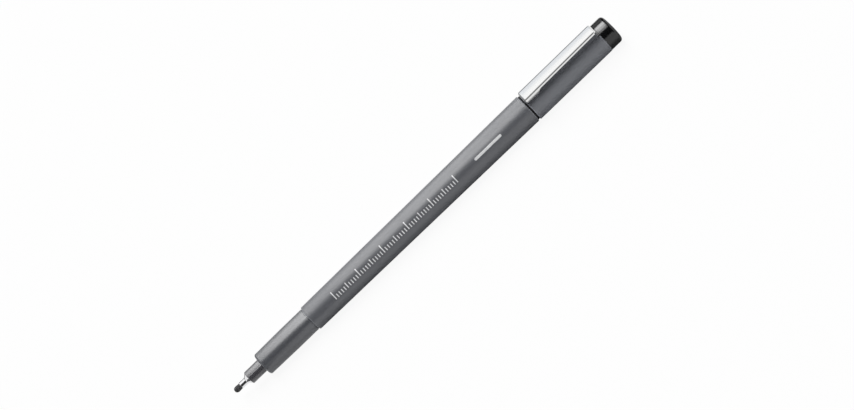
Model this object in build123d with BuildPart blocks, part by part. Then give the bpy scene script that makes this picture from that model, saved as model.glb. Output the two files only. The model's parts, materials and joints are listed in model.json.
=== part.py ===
# A fineliner pen lying on its side, with its cap posted on the tail of the barrel.
# The pen lies along X, nib towards -X, with its pocket clip upwards, leaning a little towards -Y.
# The origin is on the surface that the pen lies on, under the middle of its length.
# Every size is in millimetres.

from build123d import *
import os
from math import cos, radians, sin, sqrt

os.makedirs("parts", exist_ok=True)

# Fits and edges
press_gap = 0.02
slide_gap = 0.06
seat_gap = 0.05
cut_overrun = 2.0
edge_round = 0.3
fine_edge_round = 0.15

# Nib
nib_tip_length = 2.5
nib_tip_diameter = 1.95
nib_dome_length = 1.15
nib_neck_diameter = 1.8
nib_rod_diameter = 1.6
nib_soak_length = 6.0

# Sheath
sheath_tube_length = 2.3
sheath_cone_length = 1.05
sheath_diameter = 2.1
sheath_foot_diameter = 4.15
sheath_tail_length = 4.0

# Nib holder
nozzle_length = 5.65
nozzle_diameter = 4.4
nozzle_seat_length = 5.0
holder_collar_length = 4.0
vent_count = 4
vent_width = 0.6
vent_depth = 0.35

# Front section
section_length = 19.9
section_front_diameter = 7.7
section_rear_diameter = 7.95
section_land_length = 9.0
section_edge_round = 0.6
section_groove_width = 0.3
section_groove_depth = 0.2
section_shank_length = 8.0
section_shank_wall = 0.5

# Barrel
barrel_length = 90.2
barrel_front_diameter = 8.65
barrel_rear_diameter = 9.75
barrel_wall = 1.15

# Reservoir
film_thickness = 0.1

# Tail plug
tail_collar_length = 0.5
tail_collar_inset = 0.35
tail_spigot_length = 13.5
tail_shank_length = 6.0
tail_end_wall = 1.2
tail_ledge_width = 0.45
tail_end_round = 0.5

# Cap
cap_diameter = 9.85
cap_wall = 0.85
cap_end_wall = 2.2
cap_lip_width = 0.32
plug_diameter = 9.65
plug_head_length = 4.6
plug_end_wall = 1.6
plug_end_round = 1.1
plug_neck_wall = 0.55

# Inner seal
seal_gap = 0.1
seal_wall = 0.5
seal_lip_gap = 0.3
seal_end_wall = 0.8
seal_web_length = 1.0
seal_skirt_wall = 0.55
nib_tip_room = 0.3

# Pocket clip
clip_gauge = 0.4
clip_stand = 3.3
clip_lean_angle = 25.0
clip_slope_angle = 0.9
clip_root_width = 3.45
clip_end_width = 3.8
clip_flange_depth = 1.15
clip_tip_depth = 1.75
clip_bend_radius = 0.25
clip_corner_round = 0.55
clip_lobe_length = 6.2
clip_lobe_reach = 3.8
clip_lobe_gap = 0.2
clip_hinge_slit = 0.1
clip_set_in = 0.35

# Lengths that follow from the sizes above
nib_reach = nib_tip_length + sheath_tube_length + sheath_cone_length + nozzle_length
front_length = nib_reach + section_length
cap_length = front_length + nib_tip_room + seal_end_wall + plug_end_wall
sleeve_length = cap_length - plug_head_length
rim_gap = tail_collar_length + seat_gap
total_length = front_length + barrel_length + rim_gap + cap_length

# Stations along the pen
tip_x = -total_length / 2
sheath_x = tip_x + nib_tip_length
cone_x = sheath_x + sheath_tube_length
nozzle_x = cone_x + sheath_cone_length
section_x = nozzle_x + nozzle_length
barrel_x = section_x + section_length
tail_x = barrel_x + barrel_length
collar_end_x = tail_x + tail_collar_length
spigot_end_x = collar_end_x + tail_spigot_length
rim_x = tail_x + rim_gap
sleeve_end_x = rim_x + sleeve_length
end_x = rim_x + cap_length
sheath_tail_x = nozzle_x + sheath_tail_length
collar_x = section_x + nozzle_seat_length
reservoir_x = collar_x + holder_collar_length
shank_end_x = barrel_x + section_shank_length
tail_shank_x = tail_x - tail_shank_length
seal_x = rim_x + section_length + seal_lip_gap
cap_wall_x = sleeve_end_x - cap_end_wall
seal_end_x = end_x - plug_end_wall
leg_outer_x = sleeve_end_x - clip_set_in
leg_inner_x = leg_outer_x - clip_gauge
plug_foot_x = leg_outer_x + seat_gap

# Radii from the axis of the pen
nozzle_radius = nozzle_diameter / 2
sheath_radius = sheath_diameter / 2
nib_rod_radius = nib_rod_diameter / 2
barrel_front_radius = barrel_front_diameter / 2
barrel_rear_radius = barrel_rear_diameter / 2
bore_front_radius = barrel_front_radius - barrel_wall
bore_rear_radius = barrel_rear_radius - barrel_wall
barrel_slope = (barrel_rear_radius - barrel_front_radius) / barrel_length
tail_bore_radius = bore_rear_radius - barrel_slope * tail_shank_length
shank_radius = bore_front_radius - press_gap
reservoir_bore_radius = shank_radius - section_shank_wall
film_radius = reservoir_bore_radius - slide_gap
core_radius = film_radius - film_thickness - press_gap
tail_hollow_radius = reservoir_bore_radius - tail_ledge_width
cap_radius = cap_diameter / 2
cap_bore_radius = cap_radius - cap_wall
spigot_radius = cap_bore_radius - slide_gap
collar_radius = barrel_rear_radius - tail_collar_inset
seal_bore_radius = nozzle_radius + seal_gap
seal_tube_radius = seal_bore_radius + seal_wall
seal_skirt_radius = cap_bore_radius - press_gap
plug_bore_radius = seal_tube_radius + press_gap
plug_neck_radius = plug_bore_radius + plug_neck_wall
cap_hole_radius = plug_neck_radius + press_gap
cap_recess_radius = cap_radius - cap_lip_width
ring_inner_radius = cap_hole_radius + seat_gap
ring_outer_radius = cap_recess_radius - seat_gap

# The bend of the clip: its middle, from the axis of the pen, is where the arm flexes
clip_bend_outer = clip_bend_radius + clip_gauge
clip_bend_x = leg_inner_x - clip_bend_radius
clip_bend_height = cap_radius + clip_stand - clip_bend_outer
slope_cosine = cos(radians(clip_slope_angle))
slope_sine = sin(radians(clip_slope_angle))

# Outline of the arm, along it and up from the middle of the bend
arm_tip = rim_x - clip_bend_x
arm_root = clip_bend_radius - clip_hinge_slit
arm_top = clip_bend_outer
arm_under = clip_bend_radius
flange_foot = arm_top - clip_flange_depth
tip_foot = arm_top - clip_tip_depth
lobe_middle = arm_tip + clip_lobe_reach
lobe_end = arm_tip + clip_lobe_length
lobe_inner_half = clip_end_width / 2 - clip_gauge
lobe_height = sqrt(cap_radius**2 - lobe_inner_half**2) + clip_lobe_gap
lobe_foot = (lobe_height - clip_bend_height - lobe_middle * slope_sine) / slope_cosine
arm_cut_depth = cut_overrun - lobe_foot
root_inner_half = clip_root_width / 2 - clip_gauge

# The axis of the pen, and the plane through it that halves the clip
pen_axis = Axis((0, 0, cap_radius), (1, 0, 0))
along = Vector(1, 0, 0)
across = Vector(0, 1, 0).rotate(Axis.X, clip_lean_angle)
outward = Vector(0, 0, 1).rotate(Axis.X, clip_lean_angle)
meridian = Plane(origin=pen_axis.position, x_dir=along, z_dir=-across)

# The planes of the arm, which slopes from the middle of the bend to its free end
bend_middle = pen_axis.position + along * clip_bend_x + outward * clip_bend_height
arm_direction = along * slope_cosine + outward * slope_sine
arm_normal = outward * slope_cosine - along * slope_sine
arm_upright = Plane(origin=bend_middle, x_dir=arm_direction, z_dir=-across)
arm_level = Plane(origin=bend_middle, x_dir=arm_direction, z_dir=arm_normal)


def crossing(x):
    """The plane across the pen at a station."""
    return Plane(origin=pen_axis.position + along * x, x_dir=across, z_dir=along)


def outer_circle(part, end):
    """The largest circular edge at the front (0) or the rear (-1) end of a part."""
    circles = part.edges().filter_by(GeomType.CIRCLE).group_by(Axis.X)[end]
    return circles.sort_by(SortBy.RADIUS)[-1]


# Nib: a domed tip that seats on the sheath, and a rod that soaks in the reservoir
with BuildPart() as writing_nib:
    with BuildSketch(meridian):
        with BuildLine():
            dome_x = tip_x + nib_dome_length
            dome = EllipticalCenterArc((dome_x, 0), nib_dome_length, nib_tip_diameter / 2, 90, arc_size=90)
            Polyline(
                dome @ 0,
                (sheath_x, nib_neck_diameter / 2),
                (sheath_x, nib_rod_radius),
                (reservoir_x + nib_soak_length, nib_rod_radius),
                (reservoir_x + nib_soak_length, 0),
                dome @ 1,
            )
        make_face()
    revolve(axis=pen_axis)
writing_nib.part.label = "writing_nib"
export_step(writing_nib.part, "parts/writing_nib.step")

# Sheath: a tube with a conical foot against the nozzle and a tail inside it
with BuildPart() as nib_sheath:
    with BuildSketch(meridian):
        with BuildLine():
            Polyline(
                (sheath_x, nib_rod_radius + press_gap),
                (sheath_x, sheath_radius),
                (cone_x, sheath_radius),
                (nozzle_x, sheath_foot_diameter / 2),
                (nozzle_x, sheath_radius),
                (sheath_tail_x, sheath_radius),
                (sheath_tail_x, nib_rod_radius + press_gap),
                close=True,
            )
        make_face()
    revolve(axis=pen_axis)
nib_sheath.part.label = "nib_sheath"
export_step(nib_sheath.part, "parts/nib_sheath.step")

# Nib holder: the nozzle, and a vented collar that stops it behind the front wall
with BuildPart() as nib_holder:
    with BuildSketch(meridian):
        with BuildLine():
            Polyline(
                (nozzle_x, sheath_radius + press_gap),
                (nozzle_x, nozzle_radius),
                (collar_x, nozzle_radius),
                (collar_x, reservoir_bore_radius - press_gap),
                (reservoir_x, reservoir_bore_radius - press_gap),
                (reservoir_x, nib_rod_radius + press_gap),
                (sheath_tail_x, nib_rod_radius + press_gap),
                (sheath_tail_x, sheath_radius + press_gap),
                close=True,
            )
        make_face()
    revolve(axis=pen_axis)
    fillet(outer_circle(nib_holder, 0), radius=fine_edge_round)
    with BuildSketch(crossing(collar_x)):
        with PolarLocations(reservoir_bore_radius, vent_count):
            Rectangle(2 * vent_depth, vent_width)
    extrude(amount=holder_collar_length, mode=Mode.SUBTRACT)
nib_holder.part.label = "nib_holder"
export_step(nib_holder.part, "parts/nib_holder.step")

# Front section: carries the holder, has a land for the cap, and plugs into the mouth of the barrel
with BuildPart() as front_section:
    with BuildSketch(meridian):
        with BuildLine():
            groove_x = barrel_x - section_groove_width
            Polyline(
                (section_x, nozzle_radius + press_gap),
                (section_x, section_front_diameter / 2),
                (groove_x - section_land_length, section_rear_diameter / 2),
                (groove_x, section_rear_diameter / 2),
                (groove_x, section_rear_diameter / 2 - section_groove_depth),
                (barrel_x, section_rear_diameter / 2 - section_groove_depth),
                (barrel_x, shank_radius),
                (shank_end_x, shank_radius),
                (shank_end_x, reservoir_bore_radius),
                (collar_x, reservoir_bore_radius),
                (collar_x, nozzle_radius + press_gap),
                close=True,
            )
        make_face()
    revolve(axis=pen_axis)
    fillet(outer_circle(front_section, 0), radius=section_edge_round)
front_section.part.label = "front_section"
export_step(front_section.part, "parts/front_section.step")

# Barrel: a tapered tube with an even wall
with BuildPart() as barrel_tube:
    with BuildSketch(meridian):
        with BuildLine():
            Polyline(
                (barrel_x, bore_front_radius),
                (barrel_x, barrel_front_radius),
                (tail_x, barrel_rear_radius),
                (tail_x, bore_rear_radius),
                close=True,
            )
        make_face()
    revolve(axis=pen_axis)
    fillet([outer_circle(barrel_tube, 0), outer_circle(barrel_tube, -1)], radius=edge_round)
barrel_tube.part.label = "barrel_tube"
export_step(barrel_tube.part, "parts/barrel_tube.step")

# Reservoir: a fibre rod, bored at the front for the nib
with BuildPart() as ink_reservoir:
    with BuildSketch(crossing(reservoir_x)):
        Circle(core_radius)
    extrude(amount=tail_x - reservoir_x)
    with BuildSketch(crossing(reservoir_x)):
        Circle(nib_rod_radius + press_gap)
    extrude(amount=nib_soak_length, mode=Mode.SUBTRACT)
ink_reservoir.part.label = "ink_reservoir"
export_step(ink_reservoir.part, "parts/ink_reservoir.step")

# Film: the wrap around the rod
with BuildPart() as reservoir_film:
    with BuildSketch(crossing(reservoir_x)):
        Circle(film_radius)
        Circle(film_radius - film_thickness, mode=Mode.SUBTRACT)
    extrude(amount=tail_x - reservoir_x)
reservoir_film.part.label = "reservoir_film"
export_step(reservoir_film.part, "parts/reservoir_film.step")

# Tail plug: closes the barrel, stops the reservoir, and takes the posted cap on its spigot
with BuildPart() as tail_plug:
    with BuildSketch(meridian):
        with BuildLine():
            Polyline(
                (tail_shank_x, reservoir_bore_radius),
                (tail_shank_x, tail_bore_radius - press_gap),
                (tail_x, bore_rear_radius - press_gap),
                (tail_x, collar_radius),
                (collar_end_x, collar_radius),
                (collar_end_x, spigot_radius),
                (spigot_end_x, spigot_radius),
                (spigot_end_x, 0),
                (spigot_end_x - tail_end_wall, 0),
                (spigot_end_x - tail_end_wall, tail_hollow_radius),
                (tail_x, tail_hollow_radius),
                (tail_x, reservoir_bore_radius),
                close=True,
            )
        make_face()
    revolve(axis=pen_axis)
    fillet(outer_circle(tail_plug, -1), radius=tail_end_round)
tail_plug.part.label = "tail_plug"
export_step(tail_plug.part, "parts/tail_plug.step")

# Cap sleeve: a tube with an end wall, recessed and notched for the root of the clip
with BuildPart() as cap_sleeve:
    with BuildSketch(meridian):
        with BuildLine():
            Polyline(
                (rim_x, cap_bore_radius),
                (rim_x, cap_radius),
                (sleeve_end_x, cap_radius),
                (sleeve_end_x, cap_recess_radius),
                (leg_inner_x, cap_recess_radius),
                (leg_inner_x, cap_hole_radius),
                (cap_wall_x, cap_hole_radius),
                (cap_wall_x, cap_bore_radius),
                close=True,
            )
        make_face()
    revolve(axis=pen_axis)
    fillet(outer_circle(cap_sleeve, 0), radius=edge_round)
    fillet(outer_circle(cap_sleeve, -1), radius=fine_edge_round)
    with BuildSketch(crossing(leg_inner_x)):
        with Locations((0, cap_radius)):
            Rectangle(clip_root_width + 2 * seat_gap, 2 * (cap_radius - ring_inner_radius))
    extrude(amount=clip_gauge + cut_overrun, mode=Mode.SUBTRACT)
cap_sleeve.part.label = "cap_sleeve"
export_step(cap_sleeve.part, "parts/cap_sleeve.step")

# Inner seal: a soft cup for the nozzle, with a skirt that grips the sleeve
with BuildPart() as cap_inner_seal:
    with BuildSketch(meridian):
        with BuildLine():
            Polyline(
                (seal_x, seal_bore_radius),
                (seal_x, seal_tube_radius),
                (cap_wall_x - seal_web_length, seal_tube_radius),
                (cap_wall_x - seal_web_length, seal_skirt_radius - seal_skirt_wall),
                (seal_x, seal_skirt_radius - seal_skirt_wall),
                (seal_x, seal_skirt_radius),
                (cap_wall_x, seal_skirt_radius),
                (cap_wall_x, seal_tube_radius),
                (seal_end_x, seal_tube_radius),
                (seal_end_x, 0),
                (seal_end_x - seal_end_wall, 0),
                (seal_end_x - seal_end_wall, seal_bore_radius),
                close=True,
            )
        make_face()
    revolve(axis=pen_axis)
cap_inner_seal.part.label = "cap_inner_seal"
export_step(cap_inner_seal.part, "parts/cap_inner_seal.step")

# End plug: a head that closes the cap, a foot on the ring of the clip, and a neck through the end wall
with BuildPart() as cap_end_plug:
    with BuildSketch(meridian):
        with BuildLine():
            Polyline(
                (cap_wall_x, plug_bore_radius),
                (cap_wall_x, plug_neck_radius),
                (plug_foot_x, plug_neck_radius),
                (plug_foot_x, ring_outer_radius),
                (sleeve_end_x, ring_outer_radius),
                (sleeve_end_x, plug_diameter / 2),
                (end_x, plug_diameter / 2),
                (end_x, 0),
                (seal_end_x, 0),
                (seal_end_x, plug_bore_radius),
                close=True,
            )
        make_face()
    revolve(axis=pen_axis)
    fillet(outer_circle(cap_end_plug, -1), radius=plug_end_round)
cap_end_plug.part.label = "cap_end_plug"
export_step(cap_end_plug.part, "parts/cap_end_plug.step")

# Clip root: a ring held under the end plug, with a leg that stands out through the notch
with BuildPart() as clip_root:
    leg_top = clip_bend_height - clip_hinge_slit
    leg_foot = (ring_inner_radius + ring_outer_radius) / 2
    with BuildSketch(crossing(leg_inner_x)):
        Circle(ring_outer_radius)
        with Locations((0, (leg_top + leg_foot) / 2)):
            Rectangle(clip_root_width, leg_top - leg_foot)
        Circle(ring_inner_radius, mode=Mode.SUBTRACT)
    extrude(amount=clip_gauge)
clip_root.part.label = "clip_root"
export_step(clip_root.part, "parts/clip_root.step")

# Clip arm: a channel with a closed free end, lobed flanges and a rounded bend over the leg
with BuildPart() as clip_arm:
    with BuildSketch(arm_upright):
        with BuildLine():
            top = Line((arm_tip, arm_top), (0, arm_top))
            bend = CenterArc((0, 0), clip_bend_outer, 90, -90)
            lobe = Spline(
                (lobe_end, flange_foot),
                (lobe_middle, lobe_foot),
                (arm_tip, tip_foot),
                tangents=[(-1, 0), (-1, 0), (-2, 1)],
            )
            Polyline(bend @ 1, (arm_root, 0), (arm_root, flange_foot), lobe @ 0)
            Line(lobe @ 1, top @ 0)
        make_face()
    extrude(amount=clip_end_width / 2, both=True)
    with BuildSketch(arm_level):
        with BuildLine():
            Polyline(
                (arm_tip, -clip_end_width / 2),
                (clip_bend_outer, -clip_root_width / 2),
                (clip_bend_outer, clip_root_width / 2),
                (arm_tip, clip_end_width / 2),
                close=True,
            )
        make_face()
    extrude(amount=arm_cut_depth, both=True, mode=Mode.INTERSECT)
    arm_axis = Axis(bend_middle, arm_normal)
    corners = clip_arm.edges().filter_by(arm_axis).group_by(Axis.X)[0]
    fillet(corners, radius=clip_corner_round)
    crown = clip_arm.faces().sort_by(arm_axis)[-1]
    fillet(crown.edges().sort_by(Axis.X)[:-1], radius=edge_round)
    with BuildSketch(arm_level.offset(arm_under)):
        with BuildLine():
            Polyline(
                (arm_tip + clip_gauge, -lobe_inner_half),
                (0, -root_inner_half),
                (0, root_inner_half),
                (arm_tip + clip_gauge, lobe_inner_half),
                close=True,
            )
        make_face()
    extrude(amount=-(arm_under + arm_cut_depth), mode=Mode.SUBTRACT)
    with BuildSketch(arm_upright):
        with BuildLine():
            Polyline((0, arm_under), (0, -arm_cut_depth), (arm_under, -arm_cut_depth), (arm_under, 0))
            CenterArc((0, 0), clip_bend_radius, 0, 90)
        make_face()
    extrude(amount=root_inner_half, both=True, mode=Mode.SUBTRACT)
clip_arm.part.label = "clip_arm"
export_step(clip_arm.part, "parts/clip_arm.step")
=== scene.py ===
"""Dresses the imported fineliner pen: turned plastic, steel and fibre pieces, its studio and its camera.

Sizes are in millimetres and become metres as a mesh is made. An angle round the pen starts at the way
the clip faces and grows towards the far side of the pen.
"""

import json
import logging
import math
from dataclasses import dataclass, field, replace
from enum import Enum

import bmesh
import bpy
import numpy as np
from mathutils import Matrix, Vector


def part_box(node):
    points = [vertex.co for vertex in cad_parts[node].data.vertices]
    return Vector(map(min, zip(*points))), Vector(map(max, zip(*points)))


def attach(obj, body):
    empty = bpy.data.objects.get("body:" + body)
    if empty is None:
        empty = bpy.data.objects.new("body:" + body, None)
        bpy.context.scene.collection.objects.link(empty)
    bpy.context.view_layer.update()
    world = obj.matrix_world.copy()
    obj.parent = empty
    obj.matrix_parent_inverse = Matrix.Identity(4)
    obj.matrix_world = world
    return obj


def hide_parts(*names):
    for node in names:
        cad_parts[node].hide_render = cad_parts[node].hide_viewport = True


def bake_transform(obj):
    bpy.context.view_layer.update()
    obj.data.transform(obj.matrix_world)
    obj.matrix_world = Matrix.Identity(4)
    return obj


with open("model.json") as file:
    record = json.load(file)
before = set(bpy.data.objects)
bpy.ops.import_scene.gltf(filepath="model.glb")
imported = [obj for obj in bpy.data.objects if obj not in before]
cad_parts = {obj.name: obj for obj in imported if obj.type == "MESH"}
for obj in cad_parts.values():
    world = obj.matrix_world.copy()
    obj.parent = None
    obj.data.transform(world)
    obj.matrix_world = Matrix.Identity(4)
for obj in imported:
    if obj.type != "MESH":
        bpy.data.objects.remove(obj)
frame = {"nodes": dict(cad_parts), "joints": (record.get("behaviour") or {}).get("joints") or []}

log = logging.getLogger("pen")

Colour = tuple[float, float, float]
Corner = tuple[float, float, float]

MM = 0.001                      # a millimetre, in metres
FULL_TURN = 2 * math.pi
QUARTER_TURN = math.pi / 2
TURN_STEPS = 192                # points round a turned piece
ARC_STEPS = 8                   # runs in a rounded corner
ARC_END_WEAR_AND_PAINTED_LIGHT = 0.3              # how much of their wear and painted light the two ends of a rounded corner get
SAME_POINT = 1e-7               # points of a profile that are nearer are one, in millimetres
MERGE_DISTANCE = 2e-8           # points of a mesh that are nearer are one, in metres
TINY = 1e-9                     # keeps a division clear of zero
SHARP_ANGLE = math.radians(32)  # a steeper fold is a sharp edge
NOISE_MIDDLE = 0.5              # the middle of what a noise gives
MIX_FACTOR, MIX_FIRST, MIX_SECOND, MIX_RESULT = 0, 6, 7, 2  # the Mix node's sockets for colours
WHITE: Colour = (1.0, 1.0, 1.0)


class Body(Enum):
    """The moving bodies of the pen."""

    BARREL = "barrel"
    CAP = "cap"
    CLIP = "clip"


class Ends(Enum):
    """How a turned profile ends: on the axis at both ends, or back where it began."""

    POLES = "poles"
    LOOP = "loop"


class Wire:
    """A value in a node tree: arithmetic on it adds Math nodes."""

    def __init__(self, graph: "Graph", socket: bpy.types.NodeSocket) -> None:
        """Hold a socket of a graph's node."""
        self.graph = graph
        self.socket = socket

    def _do(self, operation: str, *terms: "Wire | float", clamp: bool = False) -> "Wire":
        """Add a Math node on the terms and give its value."""
        settings = {"operation": operation, "use_clamp": clamp}
        return self.graph.wire("ShaderNodeMath", settings, dict(enumerate(terms)))

    def __add__(self, other: "Wire | float") -> "Wire":
        """The sum."""
        return self._do("ADD", self, other)

    __radd__ = __add__

    def __sub__(self, other: "Wire | float") -> "Wire":
        """This less the other."""
        return self._do("SUBTRACT", self, other)

    def __rsub__(self, other: "Wire | float") -> "Wire":
        """The other less this."""
        return self._do("SUBTRACT", other, self)

    def __mul__(self, other: "Wire | float") -> "Wire":
        """The product."""
        return self._do("MULTIPLY", self, other)

    __rmul__ = __mul__

    def __truediv__(self, other: "Wire | float") -> "Wire":
        """This over the other."""
        return self._do("DIVIDE", self, other)

    def __abs__(self) -> "Wire":
        """The size without its sign."""
        return self._do("ABSOLUTE", self)

    def __mod__(self, period: float) -> "Wire":
        """What is left over a whole number of periods."""
        return self._do("FLOORED_MODULO", self, period)

    def most(self, other: "Wire | float") -> "Wire":
        """The larger of the two."""
        return self._do("MAXIMUM", self, other)

    def root(self) -> "Wire":
        """The square root."""
        return self._do("SQRT", self)

    def step(self, softness: float) -> "Wire":
        """0 well below zero and 1 well above it, with an even ramp of that width between."""
        return self._do("ADD", self / softness, 0.5, clamp=True)


class Graph:
    """A node tree, with one way to add a node."""

    def __init__(self, tree: bpy.types.NodeTree) -> None:
        """Take over a tree and empty it."""
        self.tree = tree
        tree.nodes.clear()

    def add(self, kind: str, settings: dict | None = None, inputs: dict | None = None) -> bpy.types.Node:
        """Add a node.

        Args:
            kind: the node's type.
            settings: its properties, set first.
            inputs: values or wires for its sockets, by name or number.

        Returns:
            The node.
        """
        node = self.tree.nodes.new(kind)
        for key, value in (settings or {}).items():
            setattr(node, key, value)
        for key, value in (inputs or {}).items():
            if isinstance(value, Wire):
                self.tree.links.new(value.socket, node.inputs[key])
            else:
                node.inputs[key].default_value = value
        return node

    def wire(
        self, kind: str, settings: dict | None = None, inputs: dict | None = None, output: int | str = 0,
    ) -> Wire:
        """Add a node and give one of its outputs."""
        return Wire(self, self.add(kind, settings, inputs).outputs[output])

    def place(self, draw: float = 1.0) -> Wire:
        """The place in the object's own frame, in metres; a draw under 1 stretches patterns along it."""
        spot = self.wire("ShaderNodeTexCoord", output="Object")
        return self.wire("ShaderNodeMapping", inputs={"Vector": spot, "Scale": (draw, 1, 1)})

    def split(self, vector: Wire) -> list[Wire]:
        """The three parts of a vector."""
        parts = self.add("ShaderNodeSeparateXYZ", inputs={0: vector})
        return [Wire(self, part) for part in parts.outputs]

    def rays(self) -> list[Wire]:
        """1 on rays from the camera, on mirrored rays and on rays through clear matter, and 0 on others."""
        path = self.add("ShaderNodeLightPath")
        return [Wire(self, path.outputs[f"Is {kind} Ray"]) for kind in ("Camera", "Glossy", "Transmission")]

    def noise(self, place: Wire, size: float, detail: float = 3) -> Wire:
        """Even noise from 0 to 1 with lumps of a size in millimetres."""
        inputs = {"Vector": place, "Scale": 1 / (size * MM), "Detail": detail}
        return self.wire("ShaderNodeTexNoise", inputs=inputs)

    def attribute(self, name: str) -> Wire:
        """A value stored on the points of the mesh, or zero where there is none."""
        return self.wire("ShaderNodeAttribute", {"attribute_name": name}, output="Fac")

    def blend(self, factor: Wire | float, first: Wire | Colour, second: Wire | Colour) -> Wire:
        """Mix two colours.

        Args:
            factor: 0 for the first colour and 1 for the second.
            first: the one.
            second: the other.

        Returns:
            The colour between them.
        """
        pair = [colour if isinstance(colour, Wire) else (*colour, 1) for colour in (first, second)]
        inputs = {MIX_FACTOR: factor, MIX_FIRST: pair[0], MIX_SECOND: pair[1]}
        return self.wire("ShaderNodeMix", {"data_type": "RGBA"}, inputs, MIX_RESULT)

    def relief(self, height: Wire, depth: float) -> Wire:
        """A normal bent by a height of 0 to 1 that stands for a depth in millimetres."""
        return self.wire("ShaderNodeBump", inputs={"Strength": 1, "Distance": depth * MM, "Height": height})

    def surface(self, inputs: dict) -> None:
        """End the tree in the standard surface shader with these inputs."""
        shader = self.wire("ShaderNodeBsdfPrincipled", inputs=inputs)
        self.add("ShaderNodeOutputMaterial", inputs={"Surface": shader})


def new_material(name: str) -> tuple[bpy.types.Material, Graph]:
    """Start a material.

    Args:
        name: its name.

    Returns:
        The material and its empty node tree.
    """
    material = bpy.data.materials.new(name)
    material.use_nodes = True
    return material, Graph(material.node_tree)


def shade(colour: Colour, times: float) -> Colour:
    """A colour made lighter or darker."""
    return tuple(min(1.0, part * times) for part in colour)


def grey(tone: float) -> Colour:
    """A grey of a tone from 0 to 1."""
    return (tone,) * 3


@dataclass(frozen=True)
class Finish:
    """What a piece is finished in: a material's name and main colour, and how it is painted."""

    name: str
    colour: Colour

    def paint(self, graph: Graph) -> None:
        """Fill the material's tree, which each finish does in its own way."""
        raise NotImplementedError

    def make(self) -> bpy.types.Material:
        """Make the material.

        Returns:
            The material, painted.
        """
        material, graph = new_material(self.name)
        self.paint(graph)
        return material


@dataclass(frozen=True)
class Plastic(Finish):
    """Moulded plastic: a fine grain, slow clouds of tone, drawn streaks, and edges rubbed smooth and painted
    lighter, a painted highlight.
    """

    roughness: float
    ior: float = 1.5
    grain_size: float = 0.16
    grain_depth: float = 0.0012
    cloud_size: float = 7.0
    streak_size: float = 0.35
    streak_draw: float = 0.04
    streak_share: float = 0.4
    drift: float = 0.05
    polish_drift: float = 0.1
    # The rub fields paint the rounded edges lighter: rubbed wear and a painted highlight.
    rub_and_highlight: float = 0.35
    rub_and_highlight_tone: float = 1.9
    rub_polish: float = 0.08

    def tone(self, graph: Graph) -> tuple[Wire, Wire, Wire]:
        """The plain plastic, for more to be laid over.

        Args:
            graph: the material's tree.

        Returns:
            The base colour, the roughness and the normal.
        """
        place = graph.place()
        cloud = graph.noise(place, self.cloud_size)
        streak = graph.noise(graph.place(self.streak_draw), self.streak_size, detail=2)
        edge = graph.attribute("edge")
        wander = cloud * (1 - self.streak_share) + streak * self.streak_share
        body = graph.blend(wander, shade(self.colour, 1 - self.drift), shade(self.colour, 1 + self.drift))
        # Rounded edges are painted lighter: rubbed wear and a painted highlight.
        colour = graph.blend(edge * self.rub_and_highlight, body, shade(self.colour, self.rub_and_highlight_tone))
        roughness = self.roughness + (wander - NOISE_MIDDLE) * self.polish_drift - edge * self.rub_polish
        return colour, roughness, graph.relief(graph.noise(place, self.grain_size), self.grain_depth)

    def paint(self, graph: Graph) -> None:
        """Paint the plain plastic."""
        self.finish(graph, *self.tone(graph))

    def finish(self, graph: Graph, colour: Wire, roughness: Wire, normal: Wire) -> None:
        """End the tree."""
        graph.surface({"Base Color": colour, "Roughness": roughness, "Normal": normal, "IOR": self.ior})


@dataclass(frozen=True)
class PrintedPlastic(Plastic):
    """Moulded plastic with white marks along one line: a plain scale and a stroke.

    The marks are worked out from the piece's map: u turns once round it and v runs from end to end.
    """

    length: float = 90.2
    front_radius: float = 4.325
    rear_radius: float = 4.875
    turn: float = 0.0
    ink: Colour = (0.92, 0.925, 0.93)
    ink_cover: float = 0.93
    ink_wear: float = 0.25
    ink_wear_size: float = 0.22
    ink_polish: float = 0.06
    scale_from: float = 10.0
    scale_to: float = 60.0
    tick_pitch: float = 1.0
    tick_width: float = 0.34
    tick_every: tuple[int, int, int] = (1, 5, 10)
    tick_reach: tuple[float, float, float] = (1.3, 1.9, 2.8)
    tick_foot: float = -1.3
    stroke_from: float = 68.5
    stroke_to: float = 78.5
    stroke_width: float = 0.85
    softness: float = 0.04

    def marks(self, graph: Graph) -> Wire:
        """Where the ink lies.

        In words: a tick lies within half its width of a multiple of its pitch, and between its foot and its
        reach round the barrel. The stroke lies within half its width of its middle line.

        Args:
            graph: the material's tree.

        Returns:
            1 on the marks and 0 off them, with a narrow soft edge.
        """
        u, v, _ = graph.split(graph.wire("ShaderNodeUVMap", {"uv_map": "map"}))
        along = v * self.length
        radius = self.front_radius + along * ((self.rear_radius - self.front_radius) / self.length)
        around = (u - self.turn) * radius * FULL_TURN
        from_start = along - self.scale_from
        over_foot = (around - self.tick_foot).step(self.softness)
        rows = []
        for every, reach in zip(self.tick_every, self.tick_reach):
            pitch = self.tick_pitch * every
            off = abs((from_start + pitch / 2) % pitch - pitch / 2)
            within = over_foot * (self.tick_foot + reach - around).step(self.softness)
            rows.append((self.tick_width / 2 - off).step(self.softness) * within)
        short, middle, tall = rows
        past = self.tick_width / 2 + self.softness
        inside = (from_start + past).step(self.softness) * (self.scale_to + past - along).step(self.softness)
        half = (self.stroke_to - self.stroke_from) / 2
        beyond = (abs(along - (self.stroke_from + half)) - half).most(0.0)
        stroke = (self.stroke_width / 2 - (beyond * beyond + around * around).root()).step(self.softness)
        return (short.most(middle).most(tall) * inside).most(stroke)

    def paint(self, graph: Graph) -> None:
        """Paint the plastic, and the ink over it, a little worn.

        Args:
            graph: the material's tree.
        """
        colour, roughness, normal = self.tone(graph)
        marks = self.marks(graph)
        wear = graph.noise(graph.place(), self.ink_wear_size)
        cover = marks * (self.ink_cover + (wear - NOISE_MIDDLE) * self.ink_wear)
        printed = graph.blend(cover, colour, self.ink)
        self.finish(graph, printed, roughness - marks * self.ink_polish, normal)


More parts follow.
